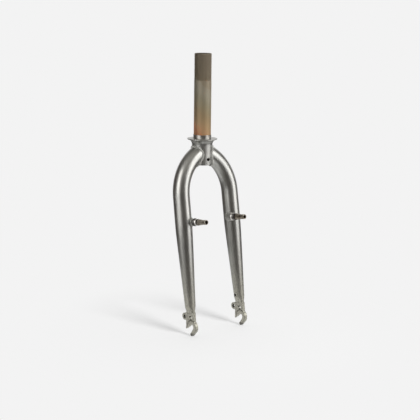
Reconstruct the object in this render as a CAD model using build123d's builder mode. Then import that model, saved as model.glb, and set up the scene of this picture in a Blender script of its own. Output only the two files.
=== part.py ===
from build123d import *
import os
from math import acos, cos, degrees, radians, sin, sqrt

os.makedirs("parts", exist_ok=True)

# Rigid steel bicycle fork for a 406 mm rim, welded from a steerer, a crown sleeve, two raked blades,
# two plate dropouts and two brake posts. Millimetres and degrees. The origin is on the steering axis at
# the crown race's shoulder, +Z runs up the steerer, -Y points forward and +X to the rider's left.

# Steerer tube
steerer_od = 28.6
steerer_wall = 1.6
steerer_height = 140.0
steerer_chamfer = 0.5
steerer_foot_step = 0.2

# Crown sleeve with its race seat and flared shoulder
sleeve_wall = 2.9
sleeve_drop = 43.5
race_seat_step = 0.7
race_seat_height = 6.5
race_seat_chamfer = 0.3
shoulder_width = 7.8
shoulder_lip = 1.4
shoulder_rounding = 0.5
flare_depth = 10.0
crown_hole_dia = 6.0
crown_hole_rise = 9.8

# Legs: their plane leans forward, and crosses the steering axis below the shoulder
leg_lean = 9.0
leg_splay = 0.5
leg_cross_drop = 20.2
hub_spacing = 100.0
axle_reach = 288.5
axle_lead = 2.0

# Blades, measured down the leg from where its plane crosses the steering axis
blade_od = 28.0
blade_wall = 1.4
blade_tip_od = 17.6
bend_radius = 76.0
bend_reach = 71.7
bend_inset = 4.0
taper_reach = 130.0
tip_length = 9.0
tip_end_width = 17.6
tip_end_thickness = 12.0
vent_dia = 3.6
vent_rise = 3.9

# Dropouts, measured from the axle: forward, and up along the leg
plate_thickness = 4.4
axle_face_od = 22.2
axle_face_step = 0.8
axle_face_rounding = 0.6
slot_width = 10.0
slot_upper_angle = 31.0
slot_lower_angle = 44.0
slot_mouth = 30.0
hook_reach = 10.2
hook_tip_radius = 2.5
neck_height = 24.5
neck_rear = 12.0
neck_front = 8.2
waist_front = 7.0
waist_fillet = 2.0
prong_rear = 16.2
prong_drop = 6.0
tang_width = 12.0
tang_shortfall = 2.5
eyelet_od = 11.9
eyelet_merge = 0.7
eyelet_gap = 1.5
eyelet_bore = 5.6
eyelet_fillet = 1.0
washer_hole_dia = 6.0
washer_hole_gap = 1.3
washer_hole_rear = 1.8
hole_countersink = 0.4

# Brake posts, set inwards on the front of the blades
post_reach = 115.7
post_overlap = 2.8
boss_od = 12.0
boss_length = 17.2
boss_stand = 5.2
boss_disc_od = 13.2
boss_disc_length = 3.4
boss_groove_od = 9.4
boss_groove_length = 1.8
spigot_dia = 7.0
spigot_depth = 4.0
stud_neck_od = 9.0
stud_neck_length = 1.1
collar_od = 11.4
collar_length = 4.7
collar_rounding = 0.8
cone_length = 12.0
stud_dia = 8.0
stud_length = 10.0
stud_chamfer = 0.4
stud_bore = 5.0
stud_bore_depth = 18.0

# Diameters that follow from the steerer, and reaches that follow from the axle
steerer_bore = steerer_od - 2 * steerer_wall
steerer_foot_od = steerer_od - 2 * steerer_foot_step
race_seat_od = steerer_od + 2 * race_seat_step
sleeve_od = steerer_od + 2 * sleeve_wall
shoulder_od = sleeve_od + 2 * shoulder_width
crown_hole_drop = sleeve_drop - crown_hole_rise
axle_face_thickness = plate_thickness + 2 * axle_face_step
blade_reach = axle_reach - neck_height
tip_reach = blade_reach - tip_length
vent_reach = tip_reach - vent_rise
tang_depth = tip_length - tang_shortfall

# Directions and planes of the left leg
lean = radians(leg_lean)
outward = Vector(1, 0, 0)
leg_forward = Vector(0, -cos(lean), sin(lean))
leg_up = Vector(0, sin(lean), cos(lean))
leg_cross = Vector(0, 0, -leg_cross_drop)
leg_plane = Plane(origin=leg_cross, x_dir=outward, z_dir=leg_forward)
plate_middle = outward * ((hub_spacing + axle_face_thickness) / 2)
axle_centre = leg_cross + plate_middle + leg_forward * axle_lead - leg_up * axle_reach
plate_plane = Plane(origin=axle_centre, x_dir=leg_forward, z_dir=-outward)


def blade_point(reach):
    """Point on the blade's straight centreline, which splays outwards down to the dropout plate."""
    inset = (blade_reach - reach) * sin(radians(leg_splay))
    return leg_cross + plate_middle - outward * inset - leg_up * reach


def blade_section(reach):
    """Plane across the blade at a reach: x points forward, y outward and the normal up the leg."""
    return Plane(origin=blade_point(reach), x_dir=leg_forward, z_dir=leg_up)


def polar(radius, angle):
    """Point of the dropout's plane at a radius from the axle and an angle up from straight forward."""
    return Vector(radius * cos(radians(angle)), radius * sin(radians(angle)))


# Steerer tube: its foot is turned down to seat in the sleeve, and the crown hole goes through both walls
with BuildPart() as steerer_tube:
    with BuildSketch(Plane.XY.offset(-sleeve_drop)):
        Circle(steerer_foot_od / 2)
    extrude(amount=sleeve_drop + race_seat_height)
    with BuildSketch(Plane.XY.offset(race_seat_height)):
        Circle(steerer_od / 2)
    extrude(amount=steerer_height - race_seat_height)
    with BuildSketch(Plane.XY.offset(-sleeve_drop)):
        Circle(steerer_bore / 2)
    extrude(amount=sleeve_drop + steerer_height, mode=Mode.SUBTRACT)
    chamfer(steerer_tube.edges().group_by(Axis.Z)[-1], steerer_chamfer)
    with BuildSketch(Plane.XZ):
        with Locations((0, -crown_hole_drop)):
            Circle(crown_hole_dia / 2)
    extrude(amount=steerer_od, both=True, mode=Mode.SUBTRACT)
steerer_tube.part.label = "steerer_tube"
export_step(steerer_tube.part, "parts/steerer_tube.step")

# Crown sleeve, turned in one piece with the flare, the shoulder and the race seat
with BuildPart() as crown_sleeve:
    with BuildSketch(Plane.XZ):
        with BuildLine():
            flare_start = (sleeve_od / 2, -flare_depth)
            flare_end = (shoulder_od / 2, -shoulder_lip)
            TangentArc(flare_start, flare_end, tangent=(0, 1))
            Polyline(
                flare_end,
                (shoulder_od / 2, 0),
                (race_seat_od / 2, 0),
                (race_seat_od / 2, race_seat_height),
                (steerer_foot_od / 2, race_seat_height),
                (steerer_foot_od / 2, -sleeve_drop),
                (sleeve_od / 2, -sleeve_drop),
                flare_start,
            )
        make_face()
    revolve(axis=Axis.Z)
    circles = crown_sleeve.edges().filter_by(GeomType.CIRCLE)
    fillet(circles.group_by(SortBy.RADIUS)[-1], shoulder_rounding)
    seat_rim = crown_sleeve.edges().group_by(Axis.Z)[-1].sort_by(SortBy.RADIUS)[-1]
    chamfer(seat_rim, race_seat_chamfer)
    with BuildSketch(Plane.XZ):
        with Locations((0, -crown_hole_drop)):
            Circle(crown_hole_dia / 2)
    extrude(amount=sleeve_od, both=True, mode=Mode.SUBTRACT)
crown_sleeve.part.label = "crown_sleeve"
export_step(crown_sleeve.part, "parts/crown_sleeve.step")

# Outside form of the left blade: the bend into the crown, the taper and the flattened tip
bend_drop = blade_point(bend_reach).X - bend_inset
bend_angle = degrees(acos(1 - bend_drop / bend_radius))

with BuildPart() as blade_form:
    with BuildLine(leg_plane) as blade_run:
        run = Line(blade_point(taper_reach), blade_point(bend_reach))
        JernArc(start=run @ 1, tangent=run % 1, radius=bend_radius, arc_size=bend_angle)
    with BuildSketch(blade_section(taper_reach)):
        Circle(blade_od / 2)
    sweep(path=blade_run.line)
    with BuildSketch(blade_section(taper_reach)):
        Circle(blade_od / 2)
    with BuildSketch(blade_section(tip_reach)):
        Circle(blade_tip_od / 2)
    loft(ruled=True)
    with BuildSketch(blade_section(tip_reach)):
        Circle(blade_tip_od / 2)
    with BuildSketch(blade_section(blade_reach)):
        Ellipse(tip_end_width / 2, tip_end_thickness / 2)
    loft(ruled=True)

# Left blade: the form made hollow, mitred round the sleeve, vented and slotted for the dropout's tang
with BuildPart() as left_blade:
    add(blade_form.part)
    with BuildSketch(blade_section(taper_reach)):
        Circle(blade_od / 2 - blade_wall)
    sweep(path=blade_run.line, mode=Mode.SUBTRACT)
    with BuildSketch(blade_section(taper_reach)):
        Circle(blade_od / 2 - blade_wall)
    with BuildSketch(blade_section(tip_reach)):
        Circle(blade_tip_od / 2 - blade_wall)
    loft(ruled=True, mode=Mode.SUBTRACT)
    with BuildSketch(Plane.XY.offset(-sleeve_drop - blade_od)):
        Circle(sleeve_od / 2)
    extrude(amount=sleeve_drop + blade_od, mode=Mode.SUBTRACT)
    add(crown_sleeve.part, mode=Mode.SUBTRACT)
    with BuildSketch(Plane(origin=blade_point(vent_reach), x_dir=leg_forward, z_dir=-outward)):
        Circle(vent_dia / 2)
    extrude(amount=blade_od, mode=Mode.SUBTRACT)
    with BuildSketch(blade_section(blade_reach)):
        Rectangle(tang_width, plate_thickness)
    extrude(amount=tang_depth, mode=Mode.SUBTRACT)

# Left dropout: a plate with thicker axle faces, an open slot, a hook below it and an eyelet behind
slot_upper = polar(slot_width / 2, 90 + slot_upper_angle)
slot_lower = polar(slot_width / 2, slot_lower_angle - 90)
slot_upper_mouth = slot_upper + polar(slot_mouth, 180 + slot_upper_angle)
slot_lower_mouth = slot_lower + polar(slot_mouth, 180 + slot_lower_angle)
hook_line = polar(slot_width / 2 + hook_tip_radius, slot_lower_angle - 90)
hook_tip = hook_line + polar(hook_reach, 180 + slot_lower_angle)
eyelet_rear = neck_rear + eyelet_od / 2 - eyelet_merge
eyelet = (-eyelet_rear, neck_height - eyelet_gap - eyelet_od / 2)
washer_hole = (-washer_hole_rear, (axle_face_od + washer_hole_dia) / 2 + washer_hole_gap)
waist_corner = (waist_front, sqrt((axle_face_od / 2) ** 2 - waist_front**2))
face_plane = plate_plane.offset(-axle_face_thickness / 2)

with BuildPart() as left_dropout:
    with BuildSketch(plate_plane.offset(-plate_thickness / 2)) as plate:
        Circle(axle_face_od / 2)
        with BuildLine():
            Polyline(
                (-neck_rear, neck_height),
                (neck_front, neck_height),
                (waist_front, 0),
                (-prong_rear, -prong_drop),
                close=True,
            )
        make_face()
        with Locations(eyelet):
            Circle(eyelet_od / 2)
        eyelet_corners = plate.vertices().filter_by(
            lambda corner: abs((Vector(corner) - Vector(*eyelet)).length - eyelet_od / 2) < 0.01
        )
        fillet(eyelet_corners, eyelet_fillet)
        waist = plate.vertices().sort_by_distance(waist_corner)[0]
        fillet(waist, waist_fillet)
    extrude(amount=plate_thickness)
    with BuildSketch(face_plane):
        Circle(axle_face_od / 2)
        with Locations(hook_tip):
            Circle(hook_tip_radius)
        make_hull()
    extrude(amount=axle_face_thickness)
    axle_faces = left_dropout.faces().filter_by(Axis.X).group_by(Axis.X)
    fillet(axle_faces[0].edges() + axle_faces[-1].edges(), axle_face_rounding)
    with BuildSketch(face_plane):
        Circle(slot_width / 2)
        with BuildLine():
            Polyline(slot_upper, slot_upper_mouth, slot_lower_mouth, slot_lower, close=True)
        make_face()
        with Locations(eyelet):
            Circle(eyelet_bore / 2)
        with Locations(washer_hole):
            Circle(washer_hole_dia / 2)
    extrude(amount=axle_face_thickness, mode=Mode.SUBTRACT)
    round_walls = left_dropout.faces().filter_by(GeomType.CYLINDER)
    hole_centres = [plate_plane.from_local_coords(hole) for hole in (eyelet, washer_hole)]
    hole_walls = [round_walls.sort_by_distance(centre)[0] for centre in hole_centres]
    hole_rims = [rim for wall in hole_walls for rim in wall.edges().filter_by(GeomType.CIRCLE)]
    chamfer(hole_rims, hole_countersink)
    with BuildSketch(blade_section(blade_reach)):
        Rectangle(tang_width, plate_thickness)
    extrude(amount=tang_depth)

# Left brake boss: a turned base with a grooved disc, saddled on to the blade
post_foot = blade_point(post_reach) - outward * (blade_od / 2 - post_overlap)
post_plane = Plane(origin=post_foot, x_dir=outward, z_dir=-leg_up)
post_axis = Axis(post_foot, leg_forward)
boss_face = blade_od / 2 + boss_stand
boss_disc = boss_face - boss_disc_length
boss_groove = boss_disc - boss_groove_length
boss_root = boss_face - boss_length
spigot_end = boss_face - spigot_depth

with BuildPart() as left_brake_boss:
    with BuildSketch(post_plane):
        with BuildLine():
            Polyline(
                (0, boss_root),
                (boss_od / 2, boss_root),
                (boss_od / 2, boss_groove),
                (boss_groove_od / 2, boss_groove),
                (boss_groove_od / 2, boss_disc),
                (boss_disc_od / 2, boss_disc),
                (boss_disc_od / 2, boss_face),
                (spigot_dia / 2, boss_face),
                (spigot_dia / 2, spigot_end),
                (0, spigot_end),
                close=True,
            )
        make_face()
    revolve(axis=post_axis)
    add(blade_form.part, mode=Mode.SUBTRACT)

# Left brake stud: a spigot, a conical collar and the pivot, chamfered at its tip and bore
collar_start = boss_face + stud_neck_length
cone_start = collar_start + collar_length
stud_start = cone_start + cone_length
stud_end = stud_start + stud_length

with BuildPart() as left_brake_stud:
    with BuildSketch(post_plane) as stud_profile:
        with BuildLine():
            Polyline(
                (0, spigot_end),
                (spigot_dia / 2, spigot_end),
                (spigot_dia / 2, boss_face),
                (stud_neck_od / 2, boss_face),
                (stud_neck_od / 2, collar_start),
                (collar_od / 2, collar_start),
                (collar_od / 2, cone_start),
                (stud_dia / 2, stud_start),
                (stud_dia / 2, stud_end),
                (stud_bore / 2, stud_end),
                (stud_bore / 2, stud_end - stud_bore_depth),
                (0, stud_end - stud_bore_depth),
                close=True,
            )
        make_face()
        fillet(stud_profile.vertices().group_by(Axis.X)[-1], collar_rounding)
        stud_tip = stud_profile.vertices().group_by(Axis.Y)[-1]
        chamfer(stud_tip, stud_chamfer)
    revolve(axis=post_axis)

# The right leg's pieces are the left ones mirrored
leg_pieces = {
    "blade": left_blade,
    "dropout": left_dropout,
    "brake_boss": left_brake_boss,
    "brake_stud": left_brake_stud,
}
for name, left_piece in leg_pieces.items():
    with BuildPart() as right_piece:
        mirror(left_piece.part, about=Plane.YZ)
    left_piece.part.label = f"left_{name}"
    right_piece.part.label = f"right_{name}"
    export_step(left_piece.part, f"parts/left_{name}.step")
    export_step(right_piece.part, f"parts/right_{name}.step")
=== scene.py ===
"""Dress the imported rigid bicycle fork.

Every new piece is a surface worked out with numpy in millimetres, in the part's own frame, and put into a mesh in
metres. Angles round the steering axis start at the front and turn towards the rider's left.
"""

import logging
from dataclasses import dataclass
from enum import Enum

import bmesh
import bpy
import numpy as np
from mathutils import Matrix, Vector


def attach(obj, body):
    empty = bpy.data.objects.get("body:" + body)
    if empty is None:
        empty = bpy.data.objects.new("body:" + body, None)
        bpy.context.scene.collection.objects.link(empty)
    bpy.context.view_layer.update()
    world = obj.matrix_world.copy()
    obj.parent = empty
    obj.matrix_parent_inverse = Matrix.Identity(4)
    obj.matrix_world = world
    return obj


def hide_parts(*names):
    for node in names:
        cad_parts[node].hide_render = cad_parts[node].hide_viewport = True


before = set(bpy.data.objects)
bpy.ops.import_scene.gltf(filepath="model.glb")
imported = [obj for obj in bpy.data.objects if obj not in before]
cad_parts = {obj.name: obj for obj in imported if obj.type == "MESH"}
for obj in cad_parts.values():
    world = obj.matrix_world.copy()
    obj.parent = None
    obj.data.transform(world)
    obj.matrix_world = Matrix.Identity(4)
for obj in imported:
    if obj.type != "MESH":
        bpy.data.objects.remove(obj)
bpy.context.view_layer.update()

LOG = logging.getLogger("fork")
MM = 0.001
TINY = 1e-9
CORNER_SHARE = 0.45
THREAD_FLAT = 0.12
Array = np.ndarray
Socket = bpy.types.NodeSocket
Colour = tuple[float, float, float, float]
Triple = tuple[float, float, float]
Gaps = tuple[tuple[slice, slice], ...]
Value = Socket | Colour | Triple | float


def tone(red: float, green: float, blue: float) -> Colour:
    """Turn a display colour into a linear one.

    Args:
        red: display red, from 0 to 255.
        green: display green, from 0 to 255.
        blue: display blue, from 0 to 255.

    Returns:
        Linear red, green, blue and an alpha of one.
    """
    share = np.array([red, green, blue]) / 255.0
    linear = np.where(share <= 0.04045, share / 12.92, ((share + 0.055) / 1.055) ** 2.4)
    return (*linear.tolist(), 1.0)


def outward(azimuth: float, elevation: float) -> Array:
    """Direction from the fork towards an azimuth a and an elevation e: (sin a cos e, -cos a cos e, sin e)."""
    level = np.cos(elevation)
    return np.array([np.sin(azimuth) * level, -np.cos(azimuth) * level, np.sin(elevation)])


def smooth(value: Array, low: float, high: float) -> Array:
    """Ease from 0 at low to 1 at high with the cubic 3t^2 - 2t^3."""
    share = np.clip((value - low) / (high - low), 0.0, 1.0)
    return share * share * (3.0 - 2.0 * share)


def spaced(stops: list[float], counts: list[int]) -> Array:
    """Numbers from the first stop to the last, each stop once, with so many even steps in each stretch."""
    spans = [np.linspace(a, b, n, endpoint=False) for a, b, n in zip(stops, stops[1:], counts)]
    return np.concatenate([*spans, stops[-1:]])


def full_turn(count: int) -> Array:
    """Angles evenly round a full turn, from 0 on."""
    return np.linspace(0.0, 2.0 * np.pi, count, endpoint=False)


def round_corners(corners: Array, steps: int = 4) -> Array:
    """Round the corners of a profile with quadratic curves.

    Each corner C becomes the curve (1-t)^2 A + 2t(1-t) C + t^2 B, where A and B lie its rounding back along both
    sides, or CORNER_SHARE of a side that is too short. Points that fall together are left out.

    Args:
        corners: corners of an open profile, each with its rounding, 0 for a sharp one.
        steps: number of steps round a corner.

    Returns:
        Points of the rounded profile.
    """
    profile, radii = corners[:, :2], corners[:, 2]
    back = np.diff(profile, axis=0, prepend=profile[:1])
    ahead = -np.diff(profile, axis=0, append=profile[-1:])
    lengths = [np.maximum(np.linalg.norm(side, axis=1), TINY) for side in (back, ahead)]
    cuts = [np.minimum(radii, CORNER_SHARE * length) / length for length in lengths]
    start = (profile - back * cuts[0][:, None])[:, None]
    end = (profile - ahead * cuts[1][:, None])[:, None]
    t = np.linspace(0.0, 1.0, steps + 1)[None, :, None]
    curve = (1 - t) ** 2 * start + 2 * t * (1 - t) * profile[:, None] + t**2 * end
    points = curve.reshape(-1, 2)
    apart = np.linalg.norm(np.diff(points, axis=0), axis=1) > 1e-5
    return points[np.concatenate([[True], apart])]


def thread_form(turns: Array) -> Array:
    """Depth of a V thread from 0 to 1: the wave |2 (u - floor u) - 1| of its turns u, flat at both ends."""
    wave = np.abs(2.0 * (turns - np.floor(turns)) - 1.0)
    return np.clip((wave - THREAD_FLAT) / (1.0 - 2.0 * THREAD_FLAT), 0.0, 1.0)


class Skin:
    """Gathers grids of points, with the faces over and between them, into one mesh. New faces take its finish."""

    def __init__(self) -> None:
        """Start with no points and no faces, and the first finish."""
        self.points: list[Array] = []
        self.faces: list[Array] = []
        self.marks: list[int] = []
        self.count = 0
        self.finish = 0

    def add(self, points: Array) -> Array:
        """Take in a grid of points.

        Args:
            points: coordinates in millimetres, in a grid of any shape.

        Returns:
            The index of each point, in the same grid.
        """
        shape = points.shape[:-1]
        first = self.count
        self.points.append(points.reshape(-1, 3))
        self.count += int(np.prod(shape))
        return np.arange(first, self.count).reshape(shape)

    def cover(self, index: Array, gaps: Gaps = ()) -> None:
        """Lay quads over a grid whose rows close on themselves.

        Args:
            index: indices of the grid's points.
            gaps: blocks of cells that stay open.
        """
        grid = np.concatenate([index, index[:, :1]], axis=1)
        cells = np.stack([grid[:-1, :-1], grid[:-1, 1:], grid[1:, 1:], grid[1:, :-1]], axis=-1)
        keep = np.ones(cells.shape[:2], bool)
        for gap in gaps:
            keep[gap] = False
        self.lay(cells[keep])

    def lay(self, faces: Array) -> None:
        """Take in faces, with the finish of the moment."""
        self.faces.append(faces)
        self.marks += [self.finish] * len(faces)

    def bridge(self, first: Array, second: Array) -> None:
        """Join two loops of equal length with a band of quads."""
        self.cover(np.stack([first, second]))

    def cap(self, loop: Array) -> None:
        """Close a loop with triangles to its middle.

        Args:
            loop: indices of the loop's points.
        """
        middle = np.concatenate(self.points)[loop].mean(axis=0)
        centre = np.full_like(loop, self.add(middle[None])[0])
        self.lay(np.stack([loop, np.roll(loop, -1), centre], axis=-1))

    def line_gap(self, outer: Array, inner: Array, gap: tuple[slice, slice]) -> None:
        """Build the wall of a hole that goes through two grids.

        Args:
            outer: indices of the outer grid.
            inner: indices of the inner grid, laid out alike.
            gap: the block of open cells in both.
        """
        rows, columns = gap
        across = np.arange(columns.start, columns.stop + 1)
        down = np.arange(rows.start, rows.stop + 1)
        row_of = [np.full_like(across, rows.start), down[1:], np.full_like(across, rows.stop)[1:], down[::-1][1:-1]]
        column_of = [across, np.full_like(down, columns.stop)[1:], across[::-1][1:],
                     np.full_like(down, columns.start)[1:-1]]
        loop = np.concatenate(row_of), np.concatenate(column_of) % outer.shape[1]
        self.bridge(outer[loop], inner[loop])

    def tube(self, outer: Array, inner: Array, gaps: Gaps) -> None:
        """Cover both walls of a tube, close its ends and line the holes through it.

        Args:
            outer: indices of the outer wall's grid.
            inner: indices of the inner wall's grid, laid out alike at the holes.
            gaps: the blocks of open cells in both.
        """
        self.cover(outer, gaps)
        self.cover(inner, gaps)
        self.bridge(outer[0], inner[0])
        self.bridge(outer[-1], inner[-1])
        for gap in gaps:
            self.line_gap(outer, inner, gap)

    def build(self, name: str, crease: float = 35.0) -> bpy.types.Object:
        """Make the mesh object, at the origin.

        Args:
            name: name of the piece.
            crease: edges sharper than this angle in degrees stay sharp.

        Returns:
            The object, with its faces pointing outwards.
        """
        data = bpy.data.meshes.new(name)
        corners = [face for faces in self.faces for face in faces.tolist()]
        data.from_pydata((np.concatenate(self.points) * MM).tolist(), [], corners)
        data.polygons.foreach_set("material_index", np.array(self.marks, np.int32))
        shape = bmesh.new()
        shape.from_mesh(data)
        bmesh.ops.remove_doubles(shape, verts=shape.verts, dist=1e-7)
        bmesh.ops.recalc_face_normals(shape, faces=shape.faces)
        shape.to_mesh(data)
        shape.free()
        data.polygons.foreach_set("use_smooth", np.ones(len(data.polygons), bool))
        data.set_sharp_from_angle(angle=np.radians(crease))
        piece = bpy.data.objects.new(name, data)
        bpy.context.scene.collection.objects.link(piece)
        return piece


class Side(Enum):
    """The rider's sides, with the sign of X on each."""

    LEFT = 1
    RIGHT = -1

    @property
    def word(self) -> str:
        """The side's name in lower case."""
        return self.name.lower()


@dataclass(frozen=True)
class CrossHole:
    """A round hole bored across a tube, that a grid's open cells are drawn to."""

    radius: float
    centre: float
    cells: int = 10
    reach: float = 2.4

    @property
    def low(self) -> float:
        """Lower end of the hole along the tube."""
        return self.centre - self.radius

    @property
    def high(self) -> float:
        """Upper end of the hole along the tube."""
        return self.centre + self.radius

    def angles(self, tube: float, count: int) -> Array:
        """Angles round a tube that meet the hole's sides, at its front and its back.

        Args:
            tube: radius of the tube.
            count: number of angles, an even number.

        Returns:
            The angles, from the front hole's first side round to it again.
        """
        sides = np.linspace(-self.radius, self.radius, self.cells + 1)
        hole = np.arcsin(sides / tube)
        plain = np.linspace(hole[-1], np.pi + hole[0], count // 2 - self.cells + 1)[1:-1]
        half = np.concatenate([hole, plain])
        return np.concatenate([half, half + np.pi])

    def draw(self, across: Array, along: Array) -> tuple[Array, Array]:
        """Draw a square hole of a grid round.

        A point at square distance c = max(|across|, |along|) and true distance e is scaled by c / e: in full at the
        rim, and less and less out to the hole's reach.

        Args:
            across: distance from the hole's axis across the tube.
            along: distance from it along the tube.

        Returns:
            The same distances, drawn in.
        """
        square = np.maximum(np.abs(across), np.abs(along))
        distance = np.maximum(np.hypot(across, along), TINY)
        pull = np.clip((self.reach - square / self.radius) / (self.reach - 1.0), 0.0, 1.0)
        scale = 1.0 + pull * (square / distance - 1.0)
        return across * scale, along * scale

    def gaps(self, first_row: int, columns: int) -> Gaps:
        """Blocks of open cells at a tube's front and back, from the row at the hole's lower end."""
        rows = slice(first_row, first_row + self.cells)
        return tuple((rows, slice(column, column + self.cells)) for column in (0, columns // 2))

    def wall(self, radius: Array, angle: Array, height: Array) -> Array:
        """Points of a tube's wall about Z, with the hole drawn round at its front and back.

        A point is (r sin a, -r cos a, z), where r sin a and z are drawn to the hole first.

        Args:
            radius: radius of each point.
            angle: its angle from the front.
            height: its height.

        Returns:
            The grid of points.
        """
        radius, angle, height = np.broadcast_arrays(radius, angle, height)
        x, along = self.draw(radius * np.sin(angle), height - self.centre)
        y = -np.sign(np.cos(angle)) * np.sqrt(np.maximum(radius**2 - x**2, 0.0))
        return np.stack([x, y, self.centre + along], axis=-1)


CROWN_HOLE = CrossHole(radius=3.0, centre=-33.7)


def cord_round(path: Array, first: Array, radius: Array, sides: int = 14) -> Array:
    """Carry a round profile along a closed path.

    A point is P + r (cos b U + sin b T x U), where T is the path's direction and U the first direction made square
    to it.

    Args:
        path: points of the closed path.
        first: a direction at each of them that isn't along the path.
        radius: radius at each point and angle, or at each point.
        sides: points round the profile.

    Returns:
        Grid of points, one row for each point of the path.
    """
    along = np.roll(path, -1, axis=0) - np.roll(path, 1, axis=0)
    along /= np.linalg.norm(along, axis=1, keepdims=True)
    first = first - (first * along).sum(axis=1, keepdims=True) * along
    first /= np.linalg.norm(first, axis=1, keepdims=True)
    second = np.cross(along, first)
    angle = full_turn(sides)[None, :, None]
    spoke = np.cos(angle) * first[:, None] + np.sin(angle) * second[:, None]
    return path[:, None] + radius[..., None] * spoke


@dataclass
class WeldBead:
    """A weld's bead: a cord along the seam, with the ripples that the torch leaves.

    Each swell has its share of the bead's size, its number of waves round the seam and its start.
    """

    size: float
    ripple: float = 0.1
    pitch: float = 1.9
    skew: float = 1.2
    swells: tuple[tuple[float, int, float], ...] = ((0.07, 3, 1.0), (0.05, 7, 2.3))
    sides: int = 14

    def build(self, name: str, path: Array, first: Array) -> bpy.types.Object:
        """Carry the bead round a closed seam.

        The radius is size (1 + ripple sin(2 pi n s / L + skew cos b) + swells), with s along the seam's length L and
        n whole ripples round it.

        Args:
            name: name of the piece.
            path: points of the seam.
            first: a direction out of the seam at each of them.

        Returns:
            The bead.
        """
        steps = np.linalg.norm(np.diff(path, axis=0, append=path[:1]), axis=1)
        share = (np.cumsum(steps) - steps)[:, None] / steps.sum() * 2.0 * np.pi
        count = round(steps.sum() / self.pitch)
        swell = sum(size * np.sin(waves * share + start) for size, waves, start in self.swells)
        wave = np.sin(count * share + self.skew * np.cos(full_turn(self.sides)[None, :]))
        radius = self.size * (1.0 + self.ripple * wave + swell)
        skin = Skin()
        index = skin.add(cord_round(path, first, radius, self.sides))
        skin.cover(np.concatenate([index, index[:1]]))
        return skin.build(name, crease=60.0)


@dataclass
class Steerer:
    """The steering tube: a plain bare tube with a long thread at its top."""

    outer: float = 14.3
    foot: float = 14.1
    bore: float = 12.7
    top: float = 140.0
    drop: float = 43.5
    flare: float = -10.0
    seat_top: float = 6.5
    chamfer: float = 0.5
    blunt: float = 0.3
    thread_pitch: float = 25.4 / 26
    thread_depth: float = 0.55
    thread_low: float = 94.0
    thread_fade: float = 3.5
    rows_per_turn: int = 9
    hole_row: int = 6
    sleeve_rows: int = 16
    seat_rows: int = 5
    plain_rows: int = 16
    bore_rows: int = 8
    columns: int = 120

    def build(self) -> bpy.types.Object:
        """Make the tube's outer and inner walls, its rims and the crown hole through both walls.

        The outer radius is R - d f(z / p - a / 2 pi) e(z), with f the thread's form and e its run-out.

        Returns:
            The tube.
        """
        stops = [-self.drop, CROWN_HOLE.low, CROWN_HOLE.high, self.flare, self.seat_top]
        below = spaced(stops, [self.hole_row, CROWN_HOLE.cells, self.sleeve_rows, self.seat_rows])
        rows = int((self.top - self.thread_low) / self.thread_pitch * self.rows_per_turn)
        above = spaced([self.seat_top, self.thread_low, self.top], [self.plain_rows, rows])
        angle = CROWN_HOLE.angles(self.foot, self.columns)[None]
        height = np.concatenate([below, above])[:, None]
        plain = np.concatenate([np.full(below.shape, self.foot), np.full(above.shape, self.outer)])[:, None]
        run_out = smooth(height, self.thread_low, self.thread_low + self.thread_fade)
        cut = thread_form(height / self.thread_pitch - angle / (2.0 * np.pi))
        edge = self.outer - self.chamfer - self.blunt + (self.top - height)
        radius = np.minimum(plain - self.thread_depth * cut * run_out, edge)

        upper = spaced([self.seat_top, self.top - self.chamfer], [self.bore_rows])[1:]
        inside = np.concatenate([below, upper, [self.top]])
        bore = np.full(inside.shape, self.bore)
        bore[-1] += self.chamfer

        skin = Skin()
        outer = skin.add(CROWN_HOLE.wall(radius, angle, height))
        inner_angle = CROWN_HOLE.angles(self.bore, self.columns)[None]
        inner = skin.add(CROWN_HOLE.wall(bore[:, None], inner_angle, inside[:, None]))
        skin.tube(outer, inner, CROWN_HOLE.gaps(self.hole_row, self.columns))
        return skin.build("steerer")


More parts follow.
